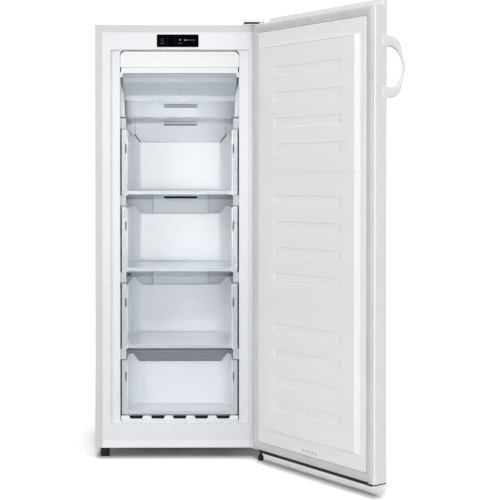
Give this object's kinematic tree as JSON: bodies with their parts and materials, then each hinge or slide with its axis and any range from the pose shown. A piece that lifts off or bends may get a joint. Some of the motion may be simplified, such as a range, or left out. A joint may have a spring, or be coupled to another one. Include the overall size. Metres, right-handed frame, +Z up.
{
  "type": "upright freezer",
  "caption": "Free-standing upright freezer with its ribbed right-hinged door open on a flap compartment and clear sliding drawers, with a finned evaporator and a compressor room behind.",
  "frame": {"origin": "on the floor, in line with the middle of the cabinet's width and with the cabinet's front plane, which the door seal meets", "axes": "+X to the right seen from the front, +Y from the front to the back, +Z up"},
  "size_m": [0.9344, 0.9645, 1.433],
  "materials": {
    "white_steel": "satin",
    "white_plastic": "satin",
    "black_gloss": "gloss",
    "grey_plastic": "matte",
    "foam": "matte",
    "shelf_glass": "gloss",
    "clear_plastic": "gloss",
    "aluminium": "satin",
    "steel": "satin",
    "copper": "satin",
    "black_steel": "satin",
    "black_rubber": "matte",
    "black_plastic": "matte",
    "seal_rubber": "matte"
  },
  "bodies": {
    "cabinet": {"left_side_panel": "white_steel", "right_side_panel": "white_steel", "top_panel": "white_steel", "back_panel": "white_steel", "bottom_panel": "white_steel", "bottom_trim": "white_plastic", "cabinet_foam": "foam", "inner_liner": "white_plastic", "control_panel": "black_gloss", "control_board": "grey_plastic", "top_cover": "white_plastic", "back_duct_cover": "white_plastic", "flap_shelf": "shelf_glass", "shelf_trim": "white_plastic", "drawer_rails": "white_plastic", "bottom_rack": "white_plastic", "evaporator_fins": "aluminium", "evaporator_tube": "aluminium", "defrost_heater": "steel", "fan_motor": "steel", "drain_tube": "grey_plastic", "compressor": "black_steel", "compressor_motor": "steel", "compressor_grommets": "black_rubber", "base_plate": "steel", "cord_bush": "grey_plastic", "drip_tray": "grey_plastic", "starter_box": "black_plastic", "filter_drier": "copper", "refrigerant_lines": "copper", "condenser_tubes": "steel", "upper_hinge_bracket": "steel", "hinge_screws": "steel", "hinge_cover": "white_plastic", "spare_hinge_cap": "white_plastic", "lower_hinge_bracket": "steel", "rear_feet": "black_plastic"},
    "door": {"door_skin": "white_steel", "door_top_cap": "white_plastic", "door_bottom_cap": "black_plastic", "door_foam": "foam", "door_liner": "white_plastic", "door_gasket": "seal_rubber", "door_handle": "white_plastic", "handle_caps": "white_plastic", "hinge_bushes": "grey_plastic"},
    "flap": {"flap": "clear_plastic"},
    "fan": {"fan_blade": "grey_plastic"},
    "left_foot": {"front_left_foot": "black_plastic"},
    "right_foot": {"front_right_foot": "black_plastic"},
    "drawer_1": {"drawer_1_tub": "clear_plastic", "drawer_1_front": "clear_plastic"},
    "drawer_2": {"drawer_2_tub": "clear_plastic", "drawer_2_front": "clear_plastic"},
    "drawer_3": {"drawer_3_tub": "clear_plastic", "drawer_3_front": "clear_plastic"},
    "drawer_4": {"drawer_4_tub": "clear_plastic", "drawer_4_front": "clear_plastic"}
  },
  "joints": [
    {"name": "door_hinge", "type": "hinge", "parent": "cabinet", "child": "door", "pos_m": [0.2643, -0.03, 0.7], "axis": [0, 0, 1], "range_deg": [-125.5, 4.5]},
    {"name": "flap_pivot", "type": "hinge", "parent": "cabinet", "child": "flap", "pos_m": [0, 0.021, 1.2545], "axis": [-1, 0, 0], "range_deg": [0, 90]},
    {"name": "drawer_1_slide", "type": "slide", "parent": "cabinet", "child": "drawer_1", "axis": [0, -1, 0], "range_m": [0, 0.3]},
    {"name": "drawer_2_slide", "type": "slide", "parent": "cabinet", "child": "drawer_2", "axis": [0, -1, 0], "range_m": [0, 0.3]},
    {"name": "drawer_3_slide", "type": "slide", "parent": "cabinet", "child": "drawer_3", "axis": [0, -1, 0], "range_m": [0, 0.3]},
    {"name": "drawer_4_slide", "type": "slide", "parent": "cabinet", "child": "drawer_4", "axis": [0, -1, 0], "range_m": [0, 0.12]},
    {"name": "fan_spin", "type": "hinge", "parent": "cabinet", "child": "fan", "pos_m": [0, 0.389, 0.745], "axis": [0, 1, 0], "continuous": true},
    {"name": "left_foot_turn", "type": "hinge", "parent": "cabinet", "child": "left_foot", "pos_m": [-0.247, 0.053, 0.02], "axis": [0, 0, 1], "range_deg": [-720, 720]},
    {"name": "right_foot_turn", "type": "hinge", "parent": "cabinet", "child": "right_foot", "pos_m": [0.2643, -0.014, 0.02], "axis": [0, 0, 1], "range_deg": [-720, 720]}
  ]
}
